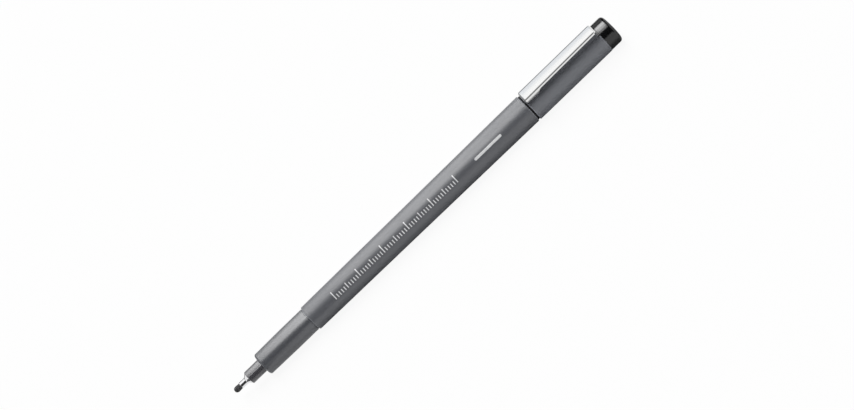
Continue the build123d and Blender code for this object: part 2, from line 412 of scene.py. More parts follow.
@dataclass(frozen=True)
class Steel(Finish):
    """Bright plated steel: polishing lines along the pen, faint clouds, and folds painted darker, a painted
    shade.
    """

    roughness: float
    lines: float = 0.06
    line_size: float = 0.09
    line_draw: float = 0.03
    line_depth: float = 0.0003
    clouds: float = 0.05
    cloud_size: float = 3.0
    darker: float = 0.94
    lighter: float = 1.05
    # The fold tone paints the folds darker: painted shade.
    fold_shade_tone: float = 1.0
    fold_polish: float = 0.03

    def paint(self, graph: Graph) -> None:
        """Paint the steel.

        Args:
            graph: the material's tree.
        """
        line = graph.noise(graph.place(self.line_draw), self.line_size)
        cloud = graph.noise(graph.place(), self.cloud_size)
        edge = graph.attribute("edge")
        low, high = shade(self.colour, self.darker), shade(self.colour, self.lighter)
        body = graph.blend((cloud + line) / 2, low, high)
        uneven = (line - NOISE_MIDDLE) * self.lines + (cloud - NOISE_MIDDLE) * self.clouds
        graph.surface({
            # Folds are painted darker by the fold tone: painted shade.
            "Base Color": graph.blend(edge, body, shade(self.colour, self.fold_shade_tone)), "Metallic": 1.0,
            "Roughness": self.roughness + uneven - edge * self.fold_polish,
            "Normal": graph.relief(line, self.line_depth),
        })


@dataclass(frozen=True)
class Fibre(Finish):
    """Bonded fibre soaked in ink: pale flecks on a dark body, and a rough face."""

    fleck: Colour
    size: float = 0.22
    strand_draw: float = 0.35
    strand_from: float = 0.53
    strand_soft: float = 0.2
    lump_ratio: float = 2.2
    lump_from: float = 0.45
    lump_soft: float = 0.25
    roughness: float = 0.78
    fleck_polish: float = 0.15
    depth: float = 0.02

    def paint(self, graph: Graph) -> None:
        """Paint the fibre.

        Args:
            graph: the material's tree.
        """
        strand = graph.noise(graph.place(self.strand_draw), self.size, detail=4)
        lump = graph.noise(graph.place(), self.size * self.lump_ratio)
        bare = (strand - self.strand_from).step(self.strand_soft)
        pale = bare * (lump - self.lump_from).step(self.lump_soft)
        graph.surface({
            "Base Color": graph.blend(pale, self.colour, self.fleck),
            "Roughness": self.roughness - pale * self.fleck_polish,
            "Normal": graph.relief(strand, self.depth),
        })


@dataclass(frozen=True)
class Film(Finish):
    """Thin clear wrap: glossy, a little milky, with faint creases along it."""

    crease_size: float = 1.2
    crease_draw: float = 0.1
    crease_depth: float = 0.01
    crease_tone: float = 0.92
    roughness: float = 0.16
    crease_roughness: float = 0.12
    alpha: float = 0.35
    crease_alpha: float = 0.15

    def paint(self, graph: Graph) -> None:
        """Paint the film."""
        crease = graph.noise(graph.place(self.crease_draw), self.crease_size)
        graph.surface({
            "Base Color": graph.blend(crease, shade(self.colour, self.crease_tone), self.colour),
            "Roughness": self.roughness + crease * self.crease_roughness,
            "Alpha": self.alpha + crease * self.crease_alpha,
            "Normal": graph.relief(crease, self.crease_depth),
        })


PRINTED_GREY = PrintedPlastic("printed_grey_plastic", (0.066, 0.069, 0.077), 0.41, 1.7, rub_and_highlight=0.9, rub_and_highlight_tone=3.4)
# The cap's copy of the barrel's satin plastic, painted lighter: painted light.
CAP_GREY_PAINTED_LIGHTER = Plastic("satin_cap_plastic_painted_lighter", (0.115, 0.121, 0.136), 0.41, 1.7, rub_and_highlight=0.9, rub_and_highlight_tone=2.6)
SMOOTH_GREY = Plastic("smooth_grey_plastic", (0.075, 0.079, 0.089), 0.31, 1.76, grain_depth=0.0006)
GLOSS_GREY = Plastic("gloss_grey_plastic", (0.06, 0.059, 0.066), 0.18, 1.7, grain_depth=0.0003)
GLOSS_BLACK = Plastic("gloss_black_plastic", (0.004, 0.004, 0.0045), 0.19, 1.55, grain_depth=0.0002, rub_and_highlight=0.2)
MATT_BLACK = Plastic("matt_black_plastic", (0.009, 0.009, 0.0095), 0.75, 1.3, rub_and_highlight=0.1)
SOFT_WHITE = Plastic("soft_white_seal", (0.78, 0.78, 0.76), 0.5)
# The clip's folds and rims are painted dark: painted shade.
CLIP_STEEL = Steel("bright_clip_steel", (0.825, 0.825, 0.82), 0.15, fold_shade_tone=0.15)
SHEATH_STEEL = Steel("bright_sheath_steel", (0.8, 0.8, 0.81), 0.08, lines=0.03)
NIB_FIBRE = Fibre("inked_nib_fibre", (0.018, 0.018, 0.019), (0.1, 0.1, 0.103))
INK_FIBRE = Fibre("soaked_reservoir_fibre", (0.03, 0.03, 0.035), (0.12, 0.12, 0.13), size=0.5)
CLEAR_FILM = Film("clear_reservoir_film", (0.8, 0.8, 0.82))


def clip_hinge() -> dict:
    """The joint that the clip flexes on."""
    return next(joint for joint in frame["joints"] if joint["name"] == "clip_flex")


def station(node: str) -> tuple[float, float]:
    """The stations, in millimetres along the pen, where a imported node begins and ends."""
    low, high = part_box(node)
    return low.x / MM, high.x / MM


def smooth(share: np.ndarray) -> np.ndarray:
    """From 0 to 1 with both ends level: three times the square less twice the cube."""
    return share * share * (3 - 2 * share)


@dataclass(frozen=True)
class PenAxis:
    """The middle line of the pen, and the two ways that cross it."""

    middle: np.ndarray
    along: np.ndarray
    across: np.ndarray
    outward: np.ndarray

    @classmethod
    def from_frame(cls) -> "PenAxis":
        """Read the axis from the cap, and the clip's facing from the joint that it flexes on.

        Returns:
            The axis, with its middle in millimetres.
        """
        low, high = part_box("cap_sleeve")
        hinge = np.array(clip_hinge()["axis"])
        along = np.array([1.0, 0.0, 0.0])
        across = hinge / np.linalg.norm(hinge)
        middle = np.array([0.0, (low.y + high.y) / 2, (low.z + high.z) / 2]) / MM
        return cls(middle, along, across, np.cross(along, across))

    def spot(self, x: np.ndarray, out: np.ndarray, side: np.ndarray) -> np.ndarray:
        """Points in millimetres from stations, heights towards the clip's facing and offsets across."""
        x, out, side = (part[..., None] for part in np.broadcast_arrays(x, out, side))
        return self.middle + x * self.along + out * self.outward + side * self.across

    def around(self, x: np.ndarray, radius: np.ndarray, angle: np.ndarray) -> np.ndarray:
        """Points in millimetres from stations, distances from the axis and angles round it."""
        return self.spot(x, radius * np.cos(angle), radius * np.sin(angle))


@dataclass
class Surface:
    """Points in millimetres, quads between them, the map of each quad's corners and an edge value a point."""

    points: np.ndarray
    quads: np.ndarray
    chart: np.ndarray
    edge: np.ndarray

    @classmethod
    def of_grid(
        cls, points: np.ndarray, edge: np.ndarray | float, wrap_rows: bool, wrap_columns: bool,
    ) -> "Surface":
        """A surface from a grid of points.

        In words: the corners of cell i, j are the points (i, j), (i, j + 1), (i + 1, j + 1) and (i + 1, j),
        counted round where the grid wraps. Their map is the column and the row as shares of the grid.

        Args:
            points: rows by columns of points.
            edge: how worn the points are, and their painted highlight and shade.
            wrap_rows: whether the last row joins the first.
            wrap_columns: whether the last column joins the first.

        Returns:
            The surface.
        """
        rows, columns = points.shape[:2]
        i = np.arange(rows if wrap_rows else rows - 1)[:, None, None] + (0, 0, 1, 1)
        j = np.arange(columns if wrap_columns else columns - 1)[None, :, None] + (0, 1, 1, 0)
        quads = i % rows * columns + j % columns
        chart = np.stack(np.broadcast_arrays(j / columns, i / rows), -1)
        wear_and_painted_light = np.broadcast_to(edge, (rows, columns)).reshape(-1).copy()
        return cls(points.reshape(-1, 3), quads.reshape(-1, 4), chart.reshape(-1, 4, 2), wear_and_painted_light)

    @classmethod
    def joined(cls, parts: "list[Surface]") -> "Surface":
        """Several surfaces as one."""
        starts = np.cumsum([0] + [len(part.points) for part in parts[:-1]])
        return cls(
            np.concatenate([part.points for part in parts]),
            np.concatenate([part.quads + start for part, start in zip(parts, starts)]),
            np.concatenate([part.chart for part in parts]),
            np.concatenate([part.edge for part in parts]),
        )

    def closed(self, quads: list[np.ndarray]) -> "Surface":
        """Close this surface with more quads on its own points, which have no place on its map.

        Args:
            quads: arrays of four point numbers a quad.

        Returns:
            The closed surface.
        """
        every = np.concatenate([self.quads, *quads])
        blank = np.zeros((len(every) - len(self.quads), 4, 2))
        return Surface(self.points, every, np.concatenate([self.chart, blank]), self.edge)

    def to_object(self, name: str) -> bpy.types.Object:
        """Make the mesh, with its seams and poles closed, its faces outwards and its corners sharp.

        Args:
            name: the name of the object and its mesh.

        Returns:
            The object, linked to the scene.
        """
        mesh = bpy.data.meshes.new(name)
        mesh.from_pydata((self.points * MM).tolist(), [], self.quads.tolist())
        chart = mesh.uv_layers.new(name="map")
        chart.data.foreach_set("uv", self.chart.reshape(-1).astype(np.float32))
        wear_and_painted_light = mesh.attributes.new("edge", "FLOAT", "POINT")
        wear_and_painted_light.data.foreach_set("value", self.edge.astype(np.float32))
        work = bmesh.new()
        work.from_mesh(mesh)
        bmesh.ops.remove_doubles(work, verts=work.verts, dist=MERGE_DISTANCE)
        bmesh.ops.dissolve_degenerate(work, dist=MERGE_DISTANCE, edges=work.edges)
        bmesh.ops.recalc_face_normals(work, faces=work.faces)
        work.to_mesh(mesh)
        work.free()
        mesh.shade_smooth()
        mesh.set_sharp_from_angle(angle=SHARP_ANGLE)
        made = bpy.data.objects.new(name, mesh)
        bpy.context.scene.collection.objects.link(made)
        return made


def rounded(corners: list[Corner], ends: Ends) -> tuple[np.ndarray, np.ndarray]:
    """A profile of straight runs with an arc at each corner.

    In words: u and v are the unit vectors that leave a corner along its two runs, and h is half the angle
    between them. The arc's middle lies radius / sin h from the corner along their bisector, its ends lie
    radius / tan h along the runs, and between those the arc turns evenly.

    Args:
        corners: station, radius from the axis and corner radius of each corner, in order.
        ends: whether the profile runs from pole to pole or is a loop.

    Returns:
        The points, station and radius, and their wear and painted light: 1 on an arc and 0 elsewhere.
    """
    table = np.array(corners, float)
    spots, radii = table[:, :2], table[:, 2].copy()
    before, after = np.roll(spots, 1, 0) - spots, np.roll(spots, -1, 0) - spots
    if ends is Ends.POLES:
        radii[[0, -1]] = 0
    u = before / np.linalg.norm(before, axis=1, keepdims=True)
    v = after / np.linalg.norm(after, axis=1, keepdims=True)
    half = np.arccos(np.clip((u * v).sum(1), -1, 1)) / 2
    bisector = u + v
    bisector /= np.maximum(np.linalg.norm(bisector, axis=1, keepdims=True), TINY)
    middle = spots + bisector * (radii / np.maximum(np.sin(half), TINY))[:, None]
    start = spots + u * (radii / np.maximum(np.tan(half), TINY))[:, None] - middle
    way = np.sign(v[:, 0] * u[:, 1] - v[:, 1] * u[:, 0])
    turn = (way * (math.pi - 2 * half))[:, None] * np.linspace(0, 1, ARC_STEPS + 1)
    cosine, sine = np.cos(turn), np.sin(turn)
    x, y = start[:, :1], start[:, 1:]
    arc = np.stack([x * cosine - y * sine, x * sine + y * cosine], -1)
    points = (middle[:, None] + arc).reshape(-1, 2)
    wear_and_painted_light = np.repeat(radii > 0, ARC_STEPS + 1).astype(float)
    wear_and_painted_light[::ARC_STEPS + 1] *= ARC_END_WEAR_AND_PAINTED_LIGHT
    wear_and_painted_light[ARC_STEPS::ARC_STEPS + 1] *= ARC_END_WEAR_AND_PAINTED_LIGHT
    keep = np.linalg.norm(points - np.roll(points, 1, 0), axis=1) > SAME_POINT
    keep[0] |= ends is Ends.POLES
    return points[keep], wear_and_painted_light[keep]


def turned(axis: PenAxis, profile: np.ndarray, edge: np.ndarray, ends: Ends) -> Surface:
    """A profile carried once round the axis of the pen.

    In words: the point of station x and radius r at angle a lies at x along the axis, r cos a out towards
    the clip's facing and r sin a across. The map's u is a / 360 degrees, from the side away from the clip,
    and its v is the share of the piece's length.

    Args:
        axis: the pen's axis.
        profile: stations and radii.
        edge: how worn each point of the profile is.
        ends: whether the profile runs from pole to pole or is a loop.

    Returns:
        The surface.
    """
    angle = np.arange(TURN_STEPS) / TURN_STEPS * FULL_TURN + math.pi
    points = axis.around(profile[:, :1], profile[:, 1:], angle)
    made = Surface.of_grid(points, edge[:, None], ends is Ends.LOOP, True)
    share = (profile[:, 0] - profile[:, 0].min()) / np.ptp(profile[:, 0])
    made.chart[..., 1] = share[made.quads // TURN_STEPS]
    return made


def lathe(axis: PenAxis, corners: list[Corner], ends: Ends = Ends.LOOP) -> Surface:
    """A rounded profile carried once round the axis of the pen."""
    return turned(axis, *rounded(corners, ends), ends)


def place(made: bpy.types.Object, body: Body, slot: str, finish: Finish, node: str) -> bpy.types.Object:
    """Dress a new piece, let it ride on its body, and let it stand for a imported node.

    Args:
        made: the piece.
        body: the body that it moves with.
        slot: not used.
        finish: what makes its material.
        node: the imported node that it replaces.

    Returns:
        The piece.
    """
    made.data.materials.append(finish.make())
    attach(made, body.value)
    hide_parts(node)
    return made


def dress_node(node: str, finish: Finish) -> bpy.types.Object:
    """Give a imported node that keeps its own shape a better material.

    Args:
        node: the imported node.
        finish: what makes its material.

    Returns:
        The node's object.
    """
    kept = frame["nodes"][node]
    material = finish.make()
    for slot in kept.material_slots:
        slot.material = material
    return kept


@dataclass
class Nose:
    """The nib, the metal sheath that guides it and the nozzle that holds both."""

    axis: PenAxis
    tip_radius: float = 0.975
    dome_length: float = 1.15
    dome_power: float = 2.3
    dome_rows: int = 24
    neck_radius: float = 0.9
    neck_rows: int = 22
    rod_radius: float = 0.8
    fuzz: float = 0.012
    fuzz_seed: int = 11
    fuzz_waves: int = 60
    fuzz_round: tuple[int, int] = (3, 40)
    fuzz_pace: float = 4.0
    fuzz_clear: float = 0.02
    sheath_radius: float = 1.05
    sheath_bore: float = 0.82
    bore_round: float = 0.03
    lip_round: float = 0.1
    foot_radius: float = 2.075
    foot_round: float = 0.05
    tube_length: float = 2.3
    cone_length: float = 1.05
    cone_round: float = 1.0
    nozzle_radius: float = 2.2
    nozzle_bore: float = 1.07
    collar_radius: float = 2.635
    nozzle_round: float = 0.15
    seat_length: float = 10.65
    sheath_tail: float = 4.0

    def build(self) -> list[bpy.types.Object]:
        """Make the three pieces."""
        return [self.nib(), self.sheath(), self.nozzle()]

    def nib(self) -> bpy.types.Object:
        """The nib: a blunt dome, a slight neck and a rod, with a fuzz of fibres on what shows.

        In words: the dome is a superellipse, whose station and radius are the cosine and sine of an angle,
        each raised to 2 over a power. The fuzz adds to the radius a sum of waves round and along the nib,
        with seeded phases.

        Returns:
            The nib.
        """
        tip, end = station("writing_nib")
        sheath, _ = station("nib_sheath")
        lift = np.linspace(0, QUARTER_TURN, self.dome_rows)
        cosine, sine = (np.clip(f(lift), 0, 1) ** (2 / self.dome_power) for f in (np.cos, np.sin))
        dome = np.stack([tip + self.dome_length * (1 - cosine), self.tip_radius * sine], -1)
        neck = np.linspace(dome[-1], (sheath, self.neck_radius), self.neck_rows)[1:]
        rod = np.array([(sheath, self.rod_radius), (end, self.rod_radius), (end, 0)])
        profile = np.concatenate([dome, neck, rod])
        made = turned(self.axis, profile, np.zeros(len(profile)), Ends.POLES)
        draw = np.random.default_rng(self.fuzz_seed)
        waves = draw.integers(*self.fuzz_round, self.fuzz_waves)
        pace = draw.normal(0, self.fuzz_pace, self.fuzz_waves)
        phase = draw.uniform(0, FULL_TURN, self.fuzz_waves)
        angle = np.arange(TURN_STEPS) / TURN_STEPS * FULL_TURN
        x, r = profile.T
        bumps = np.cos(angle[None, :, None] * waves + x[:, None, None] * pace + phase).sum(-1)
        shown = (x < sheath - self.fuzz_clear) * np.minimum(1, r / self.tip_radius)
        swell = 1 + self.fuzz * bumps / math.sqrt(self.fuzz_waves / 2) * shown[:, None]
        middle = self.axis.spot(x, 0 * x, 0 * x)[:, None]
        radial = made.points.reshape(len(profile), TURN_STEPS, 3) - middle
        made.points = (middle + radial * swell[..., None]).reshape(-1, 3)
        return place(made.to_object("nib"), Body.BARREL, "nib_fibre", NIB_FIBRE, "writing_nib")

    def sheath(self) -> bpy.types.Object:
        """The sheath: a thin tube with a rolled lip, and a conical foot on the nozzle.

        Returns:
            The sheath.
        """
        front, tail = station("nib_sheath")
        cone = front + self.tube_length
        foot = cone + self.cone_length
        made = lathe(self.axis, [
            (front, self.sheath_bore, self.bore_round), (front, self.sheath_radius, self.lip_round),
            (cone, self.sheath_radius, self.cone_round), (foot, self.foot_radius, self.foot_round),
            (foot, self.sheath_radius, 0), (tail, self.sheath_radius, 0), (tail, self.sheath_bore, 0),
        ])
        return place(made.to_object("sheath"), Body.BARREL, "sheath_metal", SHEATH_STEEL, "nib_sheath")

    def nozzle(self) -> bpy.types.Object:
        """The nozzle, with the collar that stops it behind the wall of the front section.

        Returns:
            The nozzle.
        """
        front, rear = station("nib_holder")
        collar = front + self.seat_length
        inner = front + self.sheath_tail
        made = lathe(self.axis, [
            (front, self.nozzle_bore, 0), (front, self.nozzle_radius, self.nozzle_round),
            (collar, self.nozzle_radius, 0), (collar, self.collar_radius, 0), (rear, self.collar_radius, 0),
            (rear, self.sheath_bore, 0), (inner, self.sheath_bore, 0), (inner, self.nozzle_bore, 0),
        ])
        return place(made.to_object("nozzle"), Body.BARREL, "grey_gloss", GLOSS_GREY, "nib_holder")


@dataclass
class Barrel:
    """The front section, the barrel and the tail plug, with the reservoir inside them."""

    axis: PenAxis
    print_angle: float
    section_front: float = 3.85
    section_rear: float = 3.975
    section_bore: float = 2.22
    section_hollow: float = 2.655
    section_round: float = 0.6
    mouth_round: float = 0.08
    land_length: float = 9.0
    land_round: float = 0.06
    groove_width: float = 0.3
    groove_depth: float = 0.2
    groove_round: float = 0.04
    seat_length: float = 5.0
    shank_radius: float = 3.155
    front_radius: float = 4.325
    rear_radius: float = 4.875
    wall: float = 1.15
    edge_round: float = 0.3
    plug_collar: float = 4.525
    collar_length: float = 0.5
    collar_front_round: float = 0.05
    collar_rear_round: float = 0.08
    plug_shank_front: float = 3.6684
    plug_shank_rear: float = 3.705
    plug_shank_round: float = 0.1
    plug_hollow: float = 2.205
    plug_hollow_round: float = 0.2
    plug_end_wall: float = 1.2
    spigot_radius: float = 4.015
    spigot_round: float = 0.5
    spigot_foot_round: float = 0.1

    def build(self) -> list[bpy.types.Object]:
        """Make the three turned pieces and dress the two hidden ones."""
        made = [self.section(), self.tube(), self.tail()]
        return made + [dress_node("ink_reservoir", INK_FIBRE), dress_node("reservoir_film", CLEAR_FILM)]

    def section(self) -> bpy.types.Object:
        """The front section: a rounded front edge, a slight taper, a land and the dark groove behind it.

        Returns:
            The section.
        """
        front, rear = station("front_section")
        face, _ = station("barrel_tube")
        groove = face - self.groove_width
        floor = self.section_rear - self.groove_depth
        seat = front + self.seat_length
        made = lathe(self.axis, [
            (front, self.section_bore, self.mouth_round), (front, self.section_front, self.section_round),
            (groove - self.land_length, self.section_rear, 0), (groove, self.section_rear, self.land_round),
            (groove, floor, self.groove_round), (face, floor, 0), (face, self.shank_radius, 0),
            (rear, self.shank_radius, 0), (rear, self.section_hollow, 0),
            (seat, self.section_hollow, 0), (seat, self.section_bore, 0),
        ])
        return place(made.to_object("section"), Body.BARREL, "grey_smooth", SMOOTH_GREY, "front_section")

    def tube(self) -> bpy.types.Object:
        """The barrel: a tapered tube with an even wall and rounded ends, marked on the side that shows.

        Returns:
            The barrel.
        """
        front, rear = station("barrel_tube")
        made = lathe(self.axis, [
            (front, self.front_radius - self.wall, 0), (front, self.front_radius, self.edge_round),
            (rear, self.rear_radius, self.edge_round), (rear, self.rear_radius - self.wall, 0),
        ])
        finish = replace(
            PRINTED_GREY, length=rear - front, front_radius=self.front_radius, rear_radius=self.rear_radius,
            turn=(self.print_angle / 360 + 0.5) % 1,
        )
        return place(made.to_object("barrel"), Body.BARREL, "grey_satin", finish, "barrel_tube")

    def tail(self) -> bpy.types.Object:
        """The tail plug: a shank in the barrel, a thin collar that shows, and a spigot for the cap.

        Returns:
            The tail plug.
        """
        front, rear = station("tail_plug")
        _, face = station("barrel_tube")
        shoulder = face + self.collar_length
        floor = rear - self.plug_end_wall
        made = lathe(self.axis, [
            (floor, 0, 0), (floor, self.plug_hollow, self.plug_hollow_round), (face, self.plug_hollow, 0),
            (face, self.section_hollow, 0), (front, self.section_hollow, 0),
            (front, self.plug_shank_front, self.plug_shank_round), (face, self.plug_shank_rear, 0),
            (face, self.plug_collar, self.collar_front_round),
            (shoulder, self.plug_collar, self.collar_rear_round),
            (shoulder, self.spigot_radius, self.spigot_foot_round),
            (rear, self.spigot_radius, self.spigot_round), (rear, 0, 0),
        ], Ends.POLES)
        return place(made.to_object("tail"), Body.BARREL, "black_matt", MATT_BLACK, "tail_plug")


@dataclass
class Cap:
    """The cap's sleeve and its end plug, with the soft seal inside them."""

    axis: PenAxis
    radius: float = 4.925
    bore: float = 4.075
    hole: float = 3.39
    recess: float = 4.605
    recess_depth: float = 0.75
    recess_round: float = 0.03
    end_wall: float = 2.2
    mouth_round: float = 0.1
    rim_round: float = 0.3
    lip_round: float = 0.15
    notch_width: float = 3.55
    notch_points: int = 17
    plug_radius: float = 4.825
    plug_neck: float = 3.37
    plug_bore: float = 2.82
    plug_wall: float = 1.6
    plug_round: float = 1.1
    plug_under_round: float = 0.12
    plug_foot: float = 4.555
    plug_foot_depth: float = 0.3
    plug_foot_round: float = 0.04

    def build(self) -> list[bpy.types.Object]:
        """Dress the seal and make the two turned pieces."""
        return [dress_node("cap_inner_seal", SOFT_WHITE), self.sleeve(), self.plug()]

    def sleeve(self) -> bpy.types.Object:
        """The sleeve: a tube with an end wall, and a notch in its end lip for the clip's leg.

        In words: the whole profile turns round the axis, and between the notch's two sides every point
        past the foot of the recess is pushed back to it. Each side of the notch has two columns of points
        at one angle, one with the lip and one without it.

        Returns:
            The sleeve.
        """
        front, rear = station("cap_sleeve")
        foot = rear - self.recess_depth
        wall = rear - self.end_wall
        profile, edge = rounded([
            (front, self.bore, self.mouth_round), (front, self.radius, self.rim_round),
            (rear, self.radius, self.lip_round), (rear, self.recess, self.recess_round),
            (foot, self.recess, 0), (foot, self.hole, 0), (wall, self.hole, 0), (wall, self.bore, 0),
        ], Ends.LOOP)
        half = math.asin(self.notch_width / 2 / self.radius)
        plain = np.linspace(half, FULL_TURN - half, TURN_STEPS)
        angle = np.concatenate([plain, np.linspace(-half, half, self.notch_points)])
        notched = np.arange(angle.size) >= plain.size
        x = np.where(notched, np.minimum(profile[:, :1], foot), profile[:, :1])
        made = Surface.of_grid(self.axis.around(x, profile[:, 1:], angle), edge[:, None], True, True)
        return place(made.to_object("sleeve"), Body.CAP, "grey_satin", CAP_GREY_PAINTED_LIGHTER, "cap_sleeve")

    def plug(self) -> bpy.types.Object:
        """The end plug: a head with a rounded edge, a foot on the clip's ring, and a neck in the end wall.

        Returns:
            The plug.
        """
        front, rear = station("cap_end_plug")
        _, seat = station("cap_sleeve")
        floor = rear - self.plug_wall
        foot = seat - self.plug_foot_depth
        made = lathe(self.axis, [
            (floor, 0, 0), (floor, self.plug_bore, 0), (front, self.plug_bore, 0), (front, self.plug_neck, 0),
            (foot, self.plug_neck, 0), (foot, self.plug_foot, self.plug_foot_round),
            (seat, self.plug_foot, 0), (seat, self.plug_radius, self.plug_under_round),
            (rear, self.plug_radius, self.plug_round), (rear, 0, 0),
        ], Ends.POLES)
        return place(made.to_object("end_plug"), Body.CAP, "black_gloss", GLOSS_BLACK, "cap_end_plug")


@dataclass
class PocketClip:
    """The clip: one steel stamping with a channelled arm, a bend, a leg and the ring that holds it."""

    axis: PenAxis
    gauge: float = 0.4
    slope: float = 0.9
    bend_radius: float = 0.25
    bend_points: int = 15
    root_half: float = 1.66
    tip_half: float = 1.87
    tip_points: int = 8
    arm_length: float = 28.5
    fine_from: float = 20.0
    coarse_points: int = 40
    fine_points: int = 60
    splay: float = 0.36
    curl: float = 0.3
    flange_depth: float = 0.9
    tip_depth: float = 1.75
    lobe_depth: float = 2.78
    lobe_reach: float = 3.8
    lobe_length: float = 6.2
    corner_round: float = 0.55
    corner_points: int = 13
    crown: float = 0.05
    crown_round: float = 0.3
    # The crown's and rims' edge values paint the clip's steel dark there, a painted shade, and polish it.
    crown_shade_and_polish: float = 0.7
    under_rows: int = 7
    wall_rows: int = 8
    nook: float = 0.1
    nook_step: float = 0.03
    rim_inner: float = 0.06
    rim_inner_shade_and_polish: float = 0.6
    rim_outer: tuple[tuple[float, float, float], ...] = ((0.08, 0.0, 0.6), (0.02, 0.03, 1.0))
    rim_height: float = 0.09
    leg_edge: float = 0.05
    leg_edge_points: int = 7
    drop_points: int = 5
    ring_inner: float = 3.44
    ring_outer: float = 4.555
    ring_round: float = 0.05
    ring_overlap: float = 0.3
    flex_length: float = 3.0

    @property
    def top(self) -> float:
        """The height of the arm's face over the middle of the bend."""
        return self.bend_radius + self.gauge

    def build(self) -> list[bpy.types.Object]:
        """Make the clip as one piece.

        Returns:
            The clip alone.
        """
        hinge = np.array(clip_hinge()["pos_m"])
        bend, start = hinge / MM, Vector(hinge)
        made = Surface.joined([self.arm(bend), self.leg(bend), self.ring()]).to_object("clip")
        made.data.materials.append(CLIP_STEEL.make())
        end = start - Vector((self.flex_length * MM, 0, 0))
        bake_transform(made)
        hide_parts("clip_root", "clip_arm")
        return [made]

    def ways(self) -> tuple[np.ndarray, np.ndarray]:
        """The ways of the arm, which slopes down from the bend.

        Returns:
            The way along the arm and the way out of its face.
        """
        lean = math.radians(self.slope)
        along = self.axis.along * math.cos(lean) + self.axis.outward * math.sin(lean)
        return along, self.axis.outward * math.cos(lean) - self.axis.along * math.sin(lean)

    def foot(self, run: np.ndarray) -> np.ndarray:
        """The lower edge of the flanges.

        In words: level along the arm, down to the lobe in a smooth step, and up to the tip's corner in a
        cubic that leaves the lobe level and climbs one in two at the tip.

        Args:
            run: places along the arm, from the bend.

        Returns:
            Heights from the middle of the bend.
        """
        level, low, tip = (self.top - depth for depth in (self.flange_depth, self.lobe_depth, self.tip_depth))
        lobe = -self.arm_length + self.lobe_reach
        ramp = self.lobe_length - self.lobe_reach
        down = np.clip((lobe + ramp - run) / ramp, 0, 1)
        up = np.clip((lobe - run) / self.lobe_reach, 0, 1)
        fall = level + (low - level) * smooth(down)
        climb = low + (tip - low) * smooth(up) + self.lobe_reach / 2 * up * up * (up - 1)
        return np.where(run > lobe, fall, climb)

    def outline(self, inset: float) -> tuple[np.ndarray, np.ndarray, np.ndarray, np.ndarray]:
        """The arm's outline from above, from the bend round the tip and back, moved in by an inset.

        In words: straight sides that widen towards the tip, a quarter turn at each corner, and a straight
        tip. Each point keeps its own inward way, so that a smaller outline has the same points.

        Args:
            inset: how far in the outline lies.

        Returns:
            Runs along the arm, offsets across it, and the inward way of each point along and across.
        """
        corner = -self.arm_length + self.corner_round
        sides = np.concatenate([
            np.linspace(0, -self.fine_from, self.coarse_points),
            np.linspace(-self.fine_from, corner, self.fine_points)[1:],
        ])
        half = self.root_half - (self.tip_half - self.root_half) * sides / self.arm_length
        turn = np.linspace(0, QUARTER_TURN, self.corner_points + 1)[1:]
        corner_side = half[-1] - self.corner_round * (1 - np.cos(turn))
        tip_side = np.linspace(corner_side[-1], 0, self.tip_points + 1)[1:]
        corner_run = corner - self.corner_round * np.sin(turn)
        run = np.concatenate([sides, corner_run, 0 * tip_side - self.arm_length])
        side = np.concatenate([half, corner_side, tip_side])
        in_run = np.concatenate([0 * sides, np.sin(turn), 0 * tip_side + 1])
        in_side = np.concatenate([0 * sides - 1, -np.cos(turn), 0 * tip_side])
        run, in_run = (np.concatenate([part, part[-2::-1]]) for part in (run, in_run))
        side, in_side = (np.concatenate([part, -part[-2::-1]]) for part in (side, in_side))
        return run + in_run * inset, side + in_side * inset, in_run, in_side

    def wall_row(self, inset: float, height: np.ndarray | float) -> np.ndarray:
        """A row of the flange, moved out by its lean at its height.

        In words: a flange leans out under the crown and curls in further down. At a depth z it stands out
        by splay times z less half of curl times z squared.

        Args:
            inset: how far in from the outline the row lies.
            height: its height from the middle of the bend.

        Returns:
            Points along, across and out of the arm.
        """
        run, side, in_run, in_side = self.outline(inset)
        depth = np.maximum(self.top - self.crown_round - height, 0)
        out = self.splay * depth - self.curl * depth * depth / 2
        return np.stack(np.broadcast_arrays(run - in_run * out, side - in_side * out, height), -1)

    def face_row(self, inset: float, share: float, height: float) -> np.ndarray:
        """A row of a face, which rises to its middle line in a parabola.

        Args:
            inset: the inset of the outline that the face begins at.
            share: how far the row lies from there to the middle line.
            height: the height where the face begins.

        Returns:
            Points along, across and out of the arm.
        """
        run, side, _, _ = self.outline(inset)
        spine = np.maximum(self.outline(0)[0], -self.arm_length + self.corner_round + self.gauge)
        rise = self.crown * (1 - (1 - share) ** 2)
        row = (run + (spine - run) * share, side * (1 - share), height + rise)
        return np.stack(np.broadcast_arrays(*row), -1)

